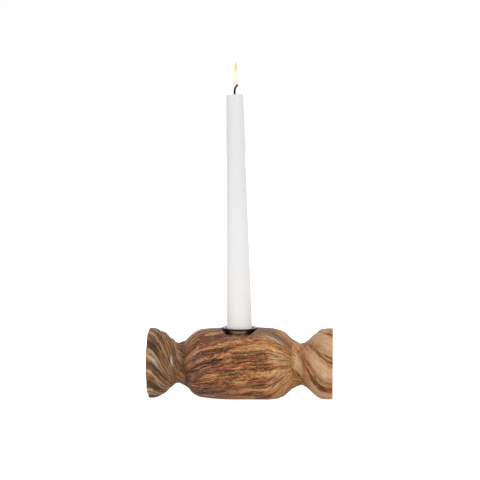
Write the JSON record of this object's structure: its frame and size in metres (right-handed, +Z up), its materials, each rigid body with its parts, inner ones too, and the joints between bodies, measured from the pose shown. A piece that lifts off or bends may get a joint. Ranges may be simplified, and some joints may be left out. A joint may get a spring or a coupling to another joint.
{
  "type": "wooden candlestick",
  "caption": "Carved hardwood candle holder shaped like a twist-wrapped sweet, with a metal candle cup in its crest and a tapered candle that lifts out.",
  "frame": {"origin": "on the resting surface, straight below the candle cup's axis", "axes": "+Z up, +X along the carved sweet towards the end with the flat, crisp face, -Y towards the viewer"},
  "size_m": [0.1598, 0.0632, 0.2721],
  "materials": {
    "carved_wood": "satin lacquer over mango-type hardwood, reddish brown to golden tan with dark streaks",
    "dark_steel": "spun steel, darkened, with a polished flange and rolled bead",
    "zinc_steel": "zinc-plated steel",
    "wax": "white candle wax, smooth and slightly translucent",
    "wick_cotton": "braided cotton, charred where it stands clear of the wax"
  },
  "bodies": {
    "holder": {"wood_body": "carved_wood", "candle_cup": "dark_steel", "cup_screw": "zinc_steel"},
    "candle": {"candle": "wax", "wick": "wick_cotton"}
  },
  "joints": [
    {"name": "candle_lift", "type": "slide", "parent": "holder", "child": "candle", "axis": [-0.0199, 0, 0.9998], "range_m": [0, 0.04]}
  ]
}
